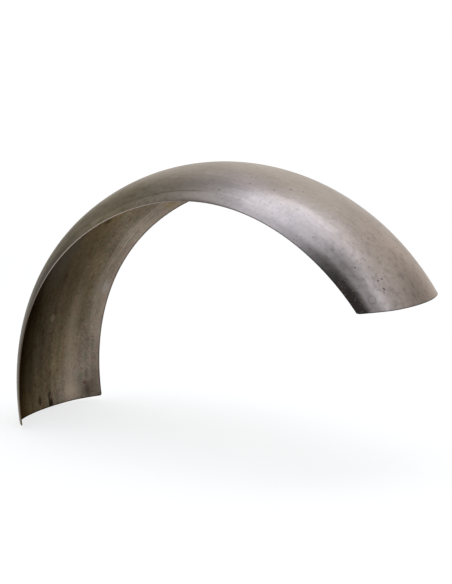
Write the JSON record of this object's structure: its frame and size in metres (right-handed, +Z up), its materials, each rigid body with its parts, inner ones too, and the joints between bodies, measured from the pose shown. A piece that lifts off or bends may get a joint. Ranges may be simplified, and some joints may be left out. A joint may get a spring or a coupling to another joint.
{
  "type": "motorcycle rear fender",
  "caption": "Crowned sheet-steel fender that arches over a motorcycle's rear wheel, with rolled edges, a square-cut front end and a level-cut tail.",
  "frame": {"origin": "outside of the crown straight ahead of the axle, where the motorcycle's frame carries the fender", "axes": "+X to the rear, +Y along the axle to the rider's right, +Z up as fitted; the axle that the arc is centred on runs along Y at x = 0.347 m, z = 0"},
  "size_m": [0.6369, 0.19, 0.3995],
  "materials": {
    "raw_steel": "bare rolled steel, satin, lightly stained"
  },
  "bodies": {
    "root": {"fender": "raw_steel"}
  },
  "joints": []
}
